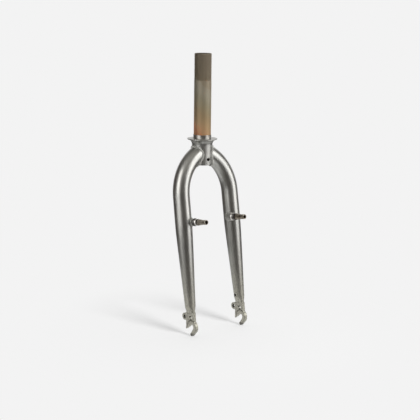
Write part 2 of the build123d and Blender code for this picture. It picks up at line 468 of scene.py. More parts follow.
@dataclass
class CrownSleeve:
    """The turned sleeve on the steerer's foot, with its flared shoulder and the race seat."""

    outer: float = 17.2
    inner: float = 14.1
    drop: float = 43.5
    flare_depth: float = 10.0
    shoulder: float = 25.0
    lip: float = 1.4
    seat: float = 15.0
    seat_foot: float = 0.1
    seat_top: float = 6.5
    edge: float = 0.4
    bore_heights: tuple[float, float] = (-4.0, 2.0)
    hole_row: int = 6
    sleeve_rows: int = 14
    flare_points: int = 18
    columns: int = 120

    def profile(self) -> Array:
        """Radius and height along the outside above the flare's start.

        The flare is the arc that leaves the sleeve upright and ends on the shoulder's lip.

        Returns:
            Points of the profile, from the flare up to the seat's top.
        """
        wide, tall = self.shoulder - self.outer, self.flare_depth - self.lip
        arc = (wide**2 + tall**2) / (2.0 * wide)
        turn = np.linspace(0.0, np.arctan2(tall, arc - wide), self.flare_points)
        flare = np.stack([self.outer + arc * (1 - np.cos(turn)), arc * np.sin(turn) - self.flare_depth], axis=-1)
        corners = np.array([
            [*flare[-3], 0.0],
            [*flare[-1], 0.5],
            [self.shoulder, 0.0, 0.55],
            [self.seat, 0.0, 0.35],
            [self.seat, self.seat_top, 0.4],
            [self.inner, self.seat_top, 0.0],
        ])
        return np.concatenate([flare[:-3], round_corners(corners, steps=5)])

    def build(self) -> bpy.types.Object:
        """Revolve the profile, bore it for the steerer and cut the crown hole.

        Returns:
            The sleeve.
        """
        stops = [self.edge - self.drop, CROWN_HOLE.low, CROWN_HOLE.high, -self.flare_depth]
        lower = spaced(stops, [self.hole_row, CROWN_HOLE.cells, self.sleeve_rows])
        straight = np.stack([np.full(lower.shape, self.outer), lower], axis=-1)
        outside = np.concatenate([[[self.outer - self.edge, -self.drop]], straight[:-1], self.profile()])
        heights = np.concatenate([[-self.drop], lower, self.bore_heights, [self.seat_top]])
        skin = Skin()
        angle = CROWN_HOLE.angles(self.outer, self.columns)[None]
        outer = skin.add(CROWN_HOLE.wall(outside[:, :1], angle, outside[:, 1:]))
        inner_angle = CROWN_HOLE.angles(self.inner, self.columns)[None]
        inner = skin.add(CROWN_HOLE.wall(np.full((1, 1), self.inner), inner_angle, heights[:, None]))
        skin.tube(outer, inner, CROWN_HOLE.gaps(1 + self.hole_row, self.columns))
        return skin.build("crown_sleeve_turned")


@dataclass(frozen=True)
class Leg:
    """The plane of the legs and the blade's centreline in it, as the solids have them."""

    lean: float = np.radians(9.0)
    cross: float = -20.2
    splay: float = np.radians(0.5)
    end_x: float = 53.0
    end: float = 264.0
    bend_radius: float = 76.0
    bend_start: float = 71.7
    bend_turn: float = np.radians(67.8)

    def place(self, side: Side, out: Array, ahead: Array, down: Array) -> Array:
        """Turn distances along the leg into points.

        Args:
            side: the leg's side.
            out: distance outwards from the steering axis.
            ahead: distance forward of the plane of the legs.
            down: distance down the leg from where its plane crosses the steering axis.

        Returns:
            Points in the part's frame.
        """
        out, ahead, down = np.broadcast_arrays(out, ahead, down)
        y = -ahead * np.cos(self.lean) - down * np.sin(self.lean)
        z = self.cross + ahead * np.sin(self.lean) - down * np.cos(self.lean)
        return np.stack([side.value * out, y, z], axis=-1)

    def straight(self, down: Array) -> Array:
        """Distance outwards of the blade's straight centreline."""
        return self.end_x - (self.end - down) * np.sin(self.splay)

    def bend(self, turn: Array) -> tuple[Array, Array, Array]:
        """Follow the bend into the crown.

        The centreline is an arc: C + R (cos t, sin t), and its normal is (cos t, sin t).

        Args:
            turn: angle from the bend's start.

        Returns:
            Distance outwards and down of the centreline, and the normal's angle.
        """
        angle = self.splay + turn
        out = self.straight(self.bend_start) + self.bend_radius * (np.cos(angle) - np.cos(self.splay))
        down = self.bend_start - self.bend_radius * (np.sin(angle) - np.sin(self.splay))
        return out, down, angle


LEG = Leg()


@dataclass
class Blade:
    """One leg of the fork: a bent, tapered tube, mitred on to the sleeve and a little flattened over the dropout."""

    side: Side
    outer: float = 14.0
    tip: float = 8.8
    wall: float = 1.4
    taper: float = 130.0
    taper_lead: float = 15.0
    taper_ease: float = 0.004
    vent_zone: float = 232.0
    tip_start: float = 255.0
    tip_lead: float = 1.5
    tip_edge: float = 0.6
    end_ahead: float = 8.8
    end_out: float = 6.0
    sleeve: float = 17.2
    plate: float = 2.2
    plate_sunk: float = 0.05
    braze: float = 5.0
    braze_spread: float = 0.2
    lap: float = 0.4
    columns: int = 96
    bend_rows: int = 44
    leg_rows: tuple[int, int, int] = (12, 40, 10)
    tip_rows: tuple[int, int] = (14, 3)
    braze_rows: int = 14
    braze_points: int = 120
    bead_points: int = 480
    halvings: int = 40
    vent: CrossHole = CrossHole(radius=2.3, centre=251.1, cells=8)

    def radius(self, down: Array) -> Array:
        """Radius of the tube: level to the taper, then straight down to the tip.

        With s the share of the taper, the corner is eased as (s + sqrt(s^2 + e)) / 2.

        Args:
            down: distances down the leg.

        Returns:
            The radius at each of them.
        """
        share = (down - self.taper) / (self.tip_start - self.taper)
        eased = np.minimum((share + np.sqrt(share**2 + self.taper_ease)) / 2.0, 1.0)
        return self.outer - (self.outer - self.tip) * eased

    def bend_point(self, turn: Array, angle: Array, radius: float) -> Array:
        """Point of the bend's surface: the centreline plus the radius along the normal and forward.

        Args:
            turn: angle along the bend.
            angle: angle round the tube, from its outer side towards the front.
            radius: radius of the tube.

        Returns:
            Points in the part's frame.
        """
        out, down, normal = LEG.bend(turn)
        reach = radius * np.cos(angle)
        across, along = reach * np.cos(normal), reach * np.sin(normal)
        return LEG.place(self.side, out + across, radius * np.sin(angle), down - along)

    def mitre(self, angle: Array, radius: float) -> Array:
        """Find where lines along the tube meet the sleeve, by halving the span again and again.

        Args:
            angle: angles round the tube.
            radius: radius of the tube.

        Returns:
            The bend's angle at which each line is at the sleeve's radius from the steering axis.
        """
        low, high = np.zeros_like(angle), np.full_like(angle, LEG.bend_turn)
        for _ in range(self.halvings):
            middle = (low + high) / 2.0
            point = self.bend_point(middle, angle, radius)
            outside = np.hypot(point[..., 0], point[..., 1]) > self.sleeve
            low, high = np.where(outside, middle, low), np.where(outside, high, middle)
        return (low + high) / 2.0

    def wall_points(self, inset: float, downs: Array) -> Array:
        """Points of the tube's outer or inner wall, from the mitre to its end.

        Args:
            inset: distance in from the outer wall.
            downs: distances down the leg of the straight rows.

        Returns:
            The grid of points.
        """
        vent_tube = float(self.radius(np.array(self.vent.centre))) - inset
        angle = np.pi + self.vent.angles(vent_tube, self.columns)[None]
        share = np.linspace(1.0, 0.0, self.bend_rows, endpoint=False)[:, None]
        bend = self.bend_point(share * self.mitre(angle, self.outer - inset), angle, self.outer - inset)
        radius = self.radius(downs)[:, None] - inset
        pinch = smooth(downs, self.tip_start - self.tip_lead, LEG.end)[:, None]
        ahead_half = radius + (self.end_ahead - inset - radius) * pinch
        out_half = radius + (self.end_out - inset - radius) * pinch
        ahead, along = self.vent.draw(ahead_half * np.sin(angle), downs[:, None] - self.vent.centre)
        depth = np.sqrt(np.maximum(1.0 - (ahead / ahead_half) ** 2, 0.0)) * np.sign(np.cos(angle))
        down = self.vent.centre + along
        return np.concatenate([bend, LEG.place(self.side, LEG.straight(down) + out_half * depth, ahead, down)])

    def build(self) -> bpy.types.Object:
        """Make the hollow tube with its vent hole, closed at the tip.

        Returns:
            The blade.
        """
        stops = [LEG.bend_start, self.taper - self.taper_lead, self.vent_zone, self.vent.low, self.vent.high]
        shared = spaced(stops, [*self.leg_rows, self.vent.cells])
        tip = spaced([self.vent.high, LEG.end - self.tip_edge, LEG.end], [*self.tip_rows])[1:]
        skin = Skin()
        outer = skin.add(self.wall_points(0.0, np.concatenate([shared, tip])))
        inner = skin.add(self.wall_points(self.wall, np.concatenate([shared, [self.tip_start - self.lap]])))
        gap = self.vent.gaps(self.bend_rows + sum(self.leg_rows), self.columns)[0]
        skin.cover(outer, (gap,))
        skin.cap(outer[-1])
        # The inner wall, the top rim, the vent hole's wall and the inner cap take painted shade.
        skin.finish = 1
        skin.cover(inner, (gap,))
        skin.bridge(outer[0], inner[0])
        skin.line_gap(outer, inner, gap)
        skin.cap(inner[-1])
        return skin.build(f"{self.side.word}_blade_tube")

    def crown_bead(self) -> bpy.types.Object:
        """Lay the weld's bead round the mitre.

        Returns:
            The bead between the blade and the sleeve.
        """
        angle = full_turn(self.bead_points)
        seam = self.bend_point(self.mitre(angle, self.outer), angle, self.outer)
        outwards = seam * np.array([1.0, 1.0, 0.0])
        return WeldBead(size=1.9, ripple=0.15, pitch=2.2).build(f"{self.side.word}_crown_weld", seam, outwards)

    def tip_braze(self) -> bpy.types.Object:
        """Run the brazing's fillet from the tube's end down on to the dropout plate.

        Each row is the superellipse |x / a|^n + |y / b|^n = 1. Down the row's share t, b falls from the tube's half
        thickness to the plate's as (1 - t)^2, while n grows from 2 to 5.

        Returns:
            The fillet at the tip.
        """
        share = np.linspace(0.0, 1.0, self.braze_rows)[:, None]
        angle = full_turn(self.braze_points)[None]
        power = 2.0 / (2.0 + 3.0 * share)
        half_out = self.plate - self.plate_sunk + (self.end_out - self.plate) * (1.0 - share) ** 2
        half_ahead = self.end_ahead + self.braze_spread * share
        ahead = half_ahead * np.sign(np.cos(angle)) * np.abs(np.cos(angle)) ** power
        out = half_out * np.sign(np.sin(angle)) * np.abs(np.sin(angle)) ** power
        down = np.broadcast_to(LEG.end - self.lap + self.braze * share, out.shape)
        skin = Skin()
        rows = skin.add(LEG.place(self.side, LEG.end_x + out, ahead, down))
        skin.cover(rows)
        skin.cap(rows[0])
        skin.cap(rows[-1])
        return skin.build(f"{self.side.word}_tip_braze", crease=50.0)


@dataclass
class BrakePost:
    """A brake boss on the front of a blade, with the pivot stud screwed into it.

    Places along the post are distances forward of the plane of the legs.
    """

    side: Side
    down: float = 115.7
    inset: float = 11.2
    blade: float = 14.0
    root: float = 2.0
    sunk: float = 0.3
    boss: float = 6.0
    groove: float = 14.0
    groove_edge: float = 0.4
    waist: float = 4.7
    disc: float = 15.8
    rim: float = 6.6
    rim_cut: float = 1.25
    rim_depth: float = 2.2
    # Width of the disc's rim band that takes a finish of its own, for the painted highlight.
    worn: float = 1.2
    face: float = 19.2
    recess: float = 3.6
    recess_depth: float = 2.0
    spigot: float = 3.5
    spigot_depth: float = 1.8
    shank: float = 4.5
    collar: float = 5.7
    collar_start: float = 20.3
    lip_start: float = 20.9
    lip_length: float = 1.9
    lip_cut: float = 1.1
    neck: float = 4.5
    cone: float = 5.5
    cone_start: float = 25.2
    # Length of the cone's start that takes painted shade, as the groove beside it does.
    oily: float = 2.2
    stud: float = 4.0
    stud_start: float = 37.0
    stud_end: float = 46.97
    bore: float = 2.5
    bore_end: float = 29.0
    mouth: float = 0.5
    mouth_depth: float = 0.6
    step: float = 0.1
    thread_pitch: float = 1.0
    thread_depth: float = 0.4
    thread_lead: float = 0.8
    thread_stop: tuple[float, float] = (0.2, 2.2)
    thread_rows: int = 150
    columns: int = 72
    bead_points: int = 300

    @property
    def out(self) -> float:
        """Distance of the post's axis outwards from the steering axis."""
        return float(LEG.straight(np.array(self.down))) - self.inset

    def turn(self, radius: Array, ahead: Array, angle: Array) -> Array:
        """Points about the post's axis: the radius outwards and up the leg by the angle, and the distance forward."""
        return LEG.place(self.side, self.out + radius * np.cos(angle), ahead, self.down - radius * np.sin(angle))

    def blade_front(self, radius: float, angle: Array) -> Array:
        """Height of the blade's surface under a circle about the post: sqrt(R^2 - d^2), or the root beside it."""
        beside = self.inset - radius * np.cos(angle)
        return np.sqrt(np.maximum(self.blade**2 - beside**2, self.root**2))

    def boss_piece(self) -> bpy.types.Object:
        """Turn the boss, with its groove and the disc, whose rim band takes painted highlight on one post and painted
        shade on the other and whose face takes painted shade, and saddle its base on to the blade.

        Returns:
            The boss.
        """
        angle = full_turn(self.columns)[None]
        base_top = self.groove - self.groove_edge
        corners = np.array([
            [self.boss, base_top, 0.0],
            [self.boss, self.groove, 0.4],
            [self.waist, self.groove, 0.3],
            [self.waist, self.disc, 0.3],
            [self.rim, self.disc, 0.6],
            [self.rim, self.face - self.rim_depth, 0.3],
            [self.rim - self.rim_cut, self.face, 0.2],
            [self.recess, self.face, 0.0],
            [self.recess, self.face - self.recess_depth, 0.0],
        ])
        profile = round_corners(corners)
        foot = np.minimum(self.blade_front(self.boss, angle) - self.sunk, base_top - self.step)
        base = foot + np.linspace(0.0, 1.0, 5, endpoint=False)[:, None] * (base_top - foot)
        skin = Skin()
        low = skin.add(self.turn(np.full_like(base, self.boss), base, angle))
        high = skin.add(self.turn(profile[:, :1], profile[:, 1:], angle))
        worn = np.flatnonzero((profile[:, 0] > self.rim - self.worn) & (profile[:, 1] > self.disc))
        first, last = int(worn[0]), int(worn[-1])
        skin.cover(np.concatenate([low, high[:first + 1]]))
        skin.cap(low[0])
        # The rim band takes its own finish: painted highlight on one post, painted shade on the other.
        skin.finish = 1
        skin.cover(high[first:last + 1])
        # The disc's face and the recess take the darker paint: painted shade.
        skin.finish = 2
        skin.cover(high[last:])
        skin.cap(high[-1])
        return skin.build(f"{self.side.word}_boss_turned")

    def stud_piece(self) -> bpy.types.Object:
        """Turn the stud with its painted collar, in the darker paint of painted shade, and its lip, with a finish of
        its own for painted highlight on one post and painted shade on the other, the groove and the cone, and thread
        its bore.

        The bore's radius is r + d f(z / p - a / 2 pi), with f the thread's form. The groove, the cone's first rows
        and the bore take painted shade.

        Returns:
            The stud.
        """
        angle = full_turn(self.columns)[None]
        lip_end, base = self.lip_start + self.lip_length, self.cone_start + self.step
        share = self.oily / (self.stud_start - base)
        corners = np.array([
            [self.spigot, self.face - self.spigot_depth, 0.0],
            [self.spigot, self.face - self.step, 0.0],
            [self.shank, self.face - self.step, 0.0],
            [self.shank, self.collar_start, 0.25],
            [self.collar, self.collar_start, 0.7],
            [self.collar, self.lip_start, 0.3],
            [self.collar - self.lip_cut, lip_end, 0.1],
            [self.neck, lip_end + 2.0 * self.step, 0.1],
            [self.neck, self.cone_start, 0.1],
            [self.cone, base, 0.3],
            [self.cone + (self.stud - self.cone) * share, base + self.oily, 0.0],
            [self.stud, self.stud_start, 2.0],
            [self.stud, self.stud_end, 0.5],
            [self.bore + self.mouth, self.stud_end, 0.1],
            [self.bore, self.stud_end - self.mouth_depth, 0.0],
        ])
        profile = round_corners(corners, steps=6)
        start = self.stud_end - self.mouth_depth - self.step
        depth = np.linspace(start, self.bore_end, self.thread_rows)[:, None]
        run = smooth(start - depth, 0.0, self.thread_lead) * smooth(depth - self.bore_end, *self.thread_stop)
        cut = thread_form(depth / self.thread_pitch - angle / (2.0 * np.pi))
        bore = self.bore + self.thread_depth * run * cut
        skin = Skin()
        outside = skin.add(self.turn(profile[:, :1], profile[:, 1:], angle))
        inside = skin.add(self.turn(bore, depth, angle))
        stops = (self.lip_start, lip_end + self.step, self.cone_start + self.oily)
        edge, lip, cone = (int(np.argmax(profile[:, 1] > stop)) for stop in stops)
        mouth = int(np.argmax(profile[:, 0] < self.bore + self.mouth + self.step))
        skin.cover(outside[cone:mouth + 1])
        # The groove, the cone's start, the mouth and the threaded bore take painted shade.
        skin.finish = 1
        skin.cover(outside[lip - 1:cone + 1])
        skin.cover(np.concatenate([outside[mouth:], inside]))
        skin.cap(inside[-1])
        # The spigot, shank and collar take the darker paint: painted shade.
        skin.finish = 2
        skin.cover(outside[:edge])
        skin.cap(outside[0])
        # The lip takes its own finish: painted highlight on one post, painted shade on the other.
        skin.finish = 3
        skin.cover(outside[edge - 1:lip])
        return skin.build(f"{self.side.word}_stud_turned")

    def weld(self) -> bpy.types.Object:
        """Lay the bead round the boss's foot, on the blade's surface.

        Returns:
            The bead between the boss and the blade.
        """
        angle = full_turn(self.bead_points)
        seat = self.boss - 2.0 * self.step
        beside = np.minimum(self.inset - seat * np.cos(angle), np.sqrt(self.blade**2 - self.root**2))
        ahead = np.sqrt(self.blade**2 - beside**2)
        axis = float(LEG.straight(np.array(self.down)))
        down = self.down - seat * np.sin(angle)
        seam = LEG.place(self.side, axis - beside, ahead, down)
        core = LEG.place(self.side, np.full_like(angle, axis), 0.0, down)
        return WeldBead(size=1.5, ripple=0.12, pitch=1.9).build(f"{self.side.word}_boss_weld", seam, seam - core)


class NodeTree:
    """Adds nodes to an emptied node tree and links them."""

    def __init__(self, tree: bpy.types.NodeTree) -> None:
        """Empty the tree of a material or a world."""
        self.tree = tree
        tree.nodes.clear()

    def node(self, kind: str, *values: Value | None, **settings: str) -> bpy.types.Node:
        """Add a node.

        Args:
            kind: the node's type, without the words that every type starts with.
            values: its inputs in order, as sockets or plain values, with None for one that stays as it is.
            settings: its own settings.

        Returns:
            The node.
        """
        node = self.tree.nodes.new(f"ShaderNode{kind}")
        for name, setting in settings.items():
            setattr(node, name, setting)
        for socket, value in zip(node.inputs, values):
            if isinstance(value, Socket):
                self.tree.links.new(value, socket)
            elif value is not None:
                socket.default_value = value
        return node

    def math(self, operation: str, *values: Socket | float) -> Socket:
        """Work out one of the plain sums."""
        return self.node("Math", *values, operation=operation).outputs["Value"]

    def sum(self, first: Socket, second: Socket, weight: float) -> Socket:
        """First plus the second times a weight."""
        return self.math("MULTIPLY_ADD", second, weight, first)

    def times(self, first: Socket, second: Socket) -> Socket:
        """Product of two values."""
        return self.math("MULTIPLY", first, second)

    def apart(self, value: Socket, middle: float) -> Socket:
        """How far a value is from a middle, to either side."""
        return self.math("ABSOLUTE", self.math("SUBTRACT", value, middle))

    def vector(self, operation: str, *values: Socket | Triple) -> Socket:
        """Work out a sum on vectors that gives a vector."""
        return self.node("VectorMath", *values, operation=operation).outputs["Vector"]

    def measure(self, operation: str, *values: Socket | Triple) -> Socket:
        """Work out a sum on vectors that gives a number."""
        return self.node("VectorMath", *values, operation=operation).outputs["Value"]

    def fade(self, value: Socket, low: float, high: float, start: float = 0.0, end: float = 1.0) -> Socket:
        """Ease a value from start at low to end at high, and keep it level beyond them."""
        node = self.node("MapRange", value, low, high, start, end, interpolation_type="SMOOTHSTEP")
        return node.outputs["Result"]

    def mix(self, share: Socket, first: Socket | Colour, second: Socket | Colour) -> Socket:
        """Mix two colours by the share of the second: their sockets are the Mix node's seventh and eighth."""
        unused = [None] * 5
        return self.node("Mix", share, *unused, first, second, data_type="RGBA").outputs[2]

    def blend(self, share: Socket, first: Socket, second: Socket) -> Socket:
        """Mix two shaders by the share of the second."""
        return self.node("MixShader", share, first, second).outputs["Shader"]


class NodeBench(NodeTree):
    """Builds one node material, on the piece's Object coordinates."""

    def __init__(self, name: str) -> None:
        """Start a material with a plain shader.

        Args:
            name: name of the material.
        """
        self.material = bpy.data.materials.new(name)
        self.material.use_nodes = True
        super().__init__(self.material.node_tree)
        self.shader = self.node("BsdfPrincipled")
        self.node("OutputMaterial", self.shader.outputs["BSDF"])
        self.place: Socket = self.node("TexCoord").outputs["Object"]

    def set(self, **values: float | Colour) -> None:
        """Set plain values on the shader.

        Args:
            values: the values, with the sockets' names in lower case and joined by underscores.
        """
        sockets = {socket.name.lower().replace(" ", "_"): socket for socket in self.shader.inputs}
        for name, value in values.items():
            sockets[name].default_value = value

    def feed(self, name: str, source: Socket) -> None:
        """Link a value to one of the shader's sockets."""
        self.tree.links.new(source, self.shader.inputs[name])

    def stretched(self, scale: Triple) -> Socket:
        """Object coordinates, scaled along each axis."""
        return self.node("Mapping", self.place, None, None, scale).outputs["Vector"]

    def axis(self, letter: str) -> Socket:
        """One of the Object coordinates, in metres."""
        return self.node("SeparateXYZ", self.place).outputs[letter]

    def noise(self, scale: float, detail: float = 3.0, place: Socket | None = None) -> Socket:
        """Cloudy noise from 0 to 1, by features per metre and finer octaves, on Object coordinates or the given."""
        return self.node("TexNoise", place or self.place, None, scale, detail).outputs["Fac"]

    def ring(self, centre: tuple[float, float], radius: float, half: float) -> Socket:
        """Ring about a line along X: one at its radius, and eased to nothing on both sides.

        Args:
            centre: Y and Z of the line in metres.
            radius: the ring's radius in metres.
            half: half its width in metres.

        Returns:
            The ring's strength.
        """
        flat = self.vector("MULTIPLY", self.place, (0.0, 1.0, 1.0))
        reach = self.measure("DISTANCE", flat, (0.0, *centre))
        return self.fade(self.apart(reach, radius), 0.0, half, 1.0, 0.0)

    def ramp(self, value: Socket, stops: tuple[tuple[float, Colour], ...]) -> Socket:
        """Colours along a value.

        Args:
            value: a value between 0 and 1.
            stops: places along it with their colours.

        Returns:
            The colour.
        """
        node = self.node("ValToRGB", value)
        spare = len(stops) - len(node.color_ramp.elements)
        for _ in range(spare):
            node.color_ramp.elements.new(0.5)
        for element, (place, colour) in zip(node.color_ramp.elements, stops):
            element.position = place
            element.color = colour
        return node.outputs["Color"]

    def bump(self, height: Socket, distance: float, strength: float = 1.0) -> None:
        """Give the surface relief.

        Args:
            height: the relief, between 0 and 1.
            distance: its full height in metres.
            strength: how much of it shows.
        """
        node = self.node("Bump", strength, distance)
        self.tree.links.new(height, node.inputs["Height"])
        self.feed("Normal", node.outputs["Normal"])


@dataclass(frozen=True)
class SilverPaint:
    """Semi-gloss metallic silver paint, duller and greener towards the dropouts."""

    name: str = "silver_paint_fine"
    bright: Colour = tone(196, 195, 190)
    soft: Colour = tone(184, 184, 180)
    low: Colour = tone(185, 183, 169)
    stain: Colour = tone(150, 145, 139)
    # The first colour below darkens the axle face's step with grime and painted shade, and the hook's foot with
    # painted shade; the second is painted shade on the holes' walls.
    grime_and_painted_shade: Colour = tone(54, 52, 47)
    shade: Colour = tone(38, 36, 32)
    metal: float = 0.97
    gloss: float = 0.3
    foot: tuple[float, float] = (-0.275, -0.135)
    # Heights over which the hook's foot darkens: painted shade where it meets the floor.
    sole_shade: tuple[float, float] = (-0.319, -0.3135)
    peel: float = 0.06 * MM
    axle: tuple[float, float] = (-47.107 * MM, -304.835 * MM)
    plate: float = 53.0 * MM
    plate_face: tuple[float, float] = (2.0 * MM, 2.3 * MM)
    rim: float = 0.0
    rim_half: float = 2.0 * MM
    # Span along Y over which the step's dark ring grows to full strength towards the back: painted shade of the
    # raised face, with grime.
    rear_shade: tuple[float, float] = (-8.0 * MM, 6.0 * MM)
    # Holes whose walls and rims get painted shade, heavier above their middles.
    holes: tuple[tuple[float, float, float, float], ...] = ()
    hole_half: float = 0.5 * MM
    hole_span: tuple[float, float] = (-1.6 * MM, 0.8 * MM)

    def make(self) -> bpy.types.Material:
        """Build the paint: cloudy silver with fine flakes and a soft orange peel under a clear coat.

        Returns:
            The paint, with the dropout's grime and painted shade where it has any.
        """
        bench = NodeBench(self.name)
        bench.set(metallic=self.metal, coat_weight=0.3, coat_roughness=0.12, specular_ior_level=0.5)
        cloud = bench.fade(bench.noise(38.0, 4.0), 0.3, 0.7)
        silver = bench.mix(cloud, self.bright, self.soft)
        level = bench.sum(bench.axis("Z"), bench.noise(22.0, 3.0), 0.05)
        foot = bench.fade(level, *self.foot, 1.0, 0.0)
        mottle = bench.fade(bench.noise(340.0, 4.0), 0.42, 0.64, 0.0, 0.6)
        colour = bench.mix(foot, silver, bench.mix(mottle, self.low, self.stain))
        bench.feed("Base Color", self.soil_and_shade(bench, colour))
        flake = bench.noise(2600.0, 1.0)
        rough = bench.sum(bench.fade(foot, 0.0, 1.0, self.gloss, self.gloss + 0.08), flake, 0.08)
        bench.feed("Roughness", rough)
        bench.bump(bench.sum(bench.noise(520.0, 2.0), flake, 0.35), self.peel, 0.5)
        return bench.material

    def soil_and_shade(self, bench: NodeBench, colour: Socket) -> Socket:
        """Darken the paint behind the axle face, under the hook and in the holes, where the paint has them: grime
        with painted shade round the axle face's step, painted shade under the hook where it meets the floor, and
        painted shade on the holes' walls.

        Each hole is the Y and Z of its middle, its radius and the share of the dark that its lower half has. The
        span of the rear is measured along Y from the axle, and that of a hole along Z from its middle.

        Args:
            bench: the paint's nodes.
            colour: the clean paint.

        Returns:
            The colour with its grime and painted shade.
        """
        # Grime with painted shade round the axle face's step, strongest towards the back, then painted shade at the
        # hook's foot.
        if self.rim > 0.0:
            face = bench.fade(bench.apart(bench.apart(bench.axis("X"), 0.0), self.plate), *self.plate_face)
            span = (self.axle[0] + offset for offset in self.rear_shade)
            rear_shade = bench.fade(bench.axis("Y"), *span, 0.22, 1.0)
            ring = bench.times(bench.ring(self.axle, self.rim, self.rim_half), bench.times(face, rear_shade))
            colour = bench.mix(ring, colour, self.grime_and_painted_shade)
            colour = bench.mix(bench.fade(bench.axis("Z"), *self.sole_shade, 0.63, 0.0), colour, self.grime_and_painted_shade)
        # Painted shade on each hole's wall and rim.
        for ahead, height, radius, low in self.holes:
            span = (height + offset for offset in self.hole_span)
            dark = bench.fade(bench.axis("Z"), *span, low, 1.0)
            ring = bench.ring((ahead, height), radius, self.hole_half)
            colour = bench.mix(bench.times(ring, dark), colour, self.shade)
        return colour


@dataclass(frozen=True)
class TurnedSteel:
    """Bright turned steel of the race seat."""

    name: str = "turned_steel"
    bright: Colour = tone(186, 183, 177)
    dark: Colour = tone(140, 131, 119)
    grain: Triple = (40.0, 40.0, 5200.0)
    relief: float = 0.03 * MM

    def make(self) -> bpy.types.Material:
        """Build the steel: fine rings round the axis, with a little tarnish.

        Returns:
            The steel.
        """
        bench = NodeBench(self.name)
        bench.set(metallic=1.0)
        rings = bench.noise(1.0, 2.0, bench.stretched(self.grain))
        tarnish = bench.fade(bench.noise(160.0, 4.0), 0.45, 0.75)
        bench.feed("Base Color", bench.mix(tarnish, self.bright, self.dark))
        bench.feed("Roughness", bench.fade(rings, 0.2, 0.8, 0.32, 0.48))
        bench.bump(rings, self.relief, 0.6)
        return bench.material


@dataclass(frozen=True)
class SteererSteel:
    """Bare drawn steel: brown at the thread, grey below it, and rusty towards the crown."""

    name: str = "bare_steerer_steel"
    rust: Colour = tone(196, 142, 99)
    deep_rust: Colour = tone(186, 116, 80)
    scale_brown: Colour = tone(88, 74, 58)
    grain: Triple = (420.0, 420.0, 9.0)
    span: tuple[float, float] = (0.005, 0.155)
    rust_span: tuple[float, float] = (0.0, 0.034)
    relief: float = 0.12 * MM
    bands: tuple[tuple[float, Colour], ...] = (
        (0.0, tone(190, 147, 108)),
        (0.1, tone(166, 139, 102)),
        (0.2, tone(152, 131, 98)),
        (0.31, tone(145, 133, 105)),
        (0.43, tone(142, 134, 111)),
        (0.56, tone(150, 142, 123)),
        (0.67, tone(147, 138, 119)),
        (0.7, tone(142, 130, 109)),
        (1.0, tone(142, 131, 114)),
    )

    def make(self) -> bpy.types.Material:
        """Build the steel: bands of tarnish up the tube, drawn streaks along it and blooms of rust at its foot.

        Returns:
            The steel.
        """
        bench = NodeBench(self.name)
        cloud = bench.noise(55.0, 5.0)
        streak = bench.noise(1.0, 4.0, bench.stretched(self.grain))
        across = bench.sum(bench.axis("X"), bench.axis("Y"), -0.8)
        level = bench.sum(bench.sum(bench.axis("Z"), cloud, 0.016), across, 0.65)
        bands = bench.ramp(bench.fade(level, *self.span), self.bands)
        streaked = bench.mix(bench.fade(streak, 0.42, 0.8, 0.0, 0.16), bands, self.scale_brown)
        foot = bench.fade(bench.sum(level, across, 0.6), *self.rust_span, 1.0, 0.0)
        bloom = bench.fade(bench.sum(bench.noise(210.0, 6.0), foot, 0.42), 0.62, 0.86)
        rusty = bench.mix(bloom, streaked, self.rust)
        pit = bench.fade(bench.sum(bench.noise(480.0, 4.0), bloom, 0.22), 0.66, 0.8)
        bench.feed("Base Color", bench.mix(pit, rusty, self.deep_rust))
        bench.feed("Metallic", bench.fade(bloom, 0.0, 1.0, 0.3, 0.08))
        bench.feed("Roughness", bench.fade(bench.sum(bloom, streak, 0.4), 0.0, 1.2, 0.5, 0.75))
        rough = bench.sum(bench.sum(streak, bloom, 0.6), bench.noise(900.0, 3.0), 0.4)
        bench.bump(rough, self.relief, 0.5)
        return bench.material


@dataclass(frozen=True)
class StudSteel:
    """Brownish grey steel of the pivot studs, darker in patches."""

    name: str = "dark_stud_steel"
    brown: Colour = tone(176, 169, 155)
    dark: Colour = tone(122, 112, 98)
    grain: Triple = (60.0, 3200.0, 60.0)
    relief: float = 0.04 * MM

    def make(self) -> bpy.types.Material:
        """Build the steel: brownish metal with tarnish and fine turning rings along the post.

        Returns:
            The steel.
        """
        bench = NodeBench(self.name)
        bench.set(metallic=0.85)
        rings = bench.noise(1.0, 2.0, bench.stretched(self.grain))
        cloud = bench.fade(bench.noise(190.0, 5.0), 0.35, 0.7)
        bench.feed("Base Color", bench.mix(cloud, self.brown, self.dark))
        bench.feed("Roughness", bench.fade(rings, 0.2, 0.8, 0.3, 0.46))
        bench.bump(rings, self.relief, 0.5)
        return bench.material


@dataclass(frozen=True)
class BoreShade:
    """The near-black painted shade inside bores and tubes, in the studs' grooves and on the start of their cones."""

    name: str = "oily_bore"
    black: Colour = tone(34, 29, 25)
    brown: Colour = tone(58, 47, 39)

    def make(self) -> bpy.types.Material:
        """Build the painted shade: black with brown patches.

        Returns:
            The painted shade.
        """
        bench = NodeBench(self.name)
        bench.set(metallic=0.2, roughness=0.7, specular_ior_level=0.25)
        patch = bench.fade(bench.noise(150.0, 4.0), 0.4, 0.7)
        bench.feed("Base Color", bench.mix(patch, self.black, self.brown))
        return bench.material


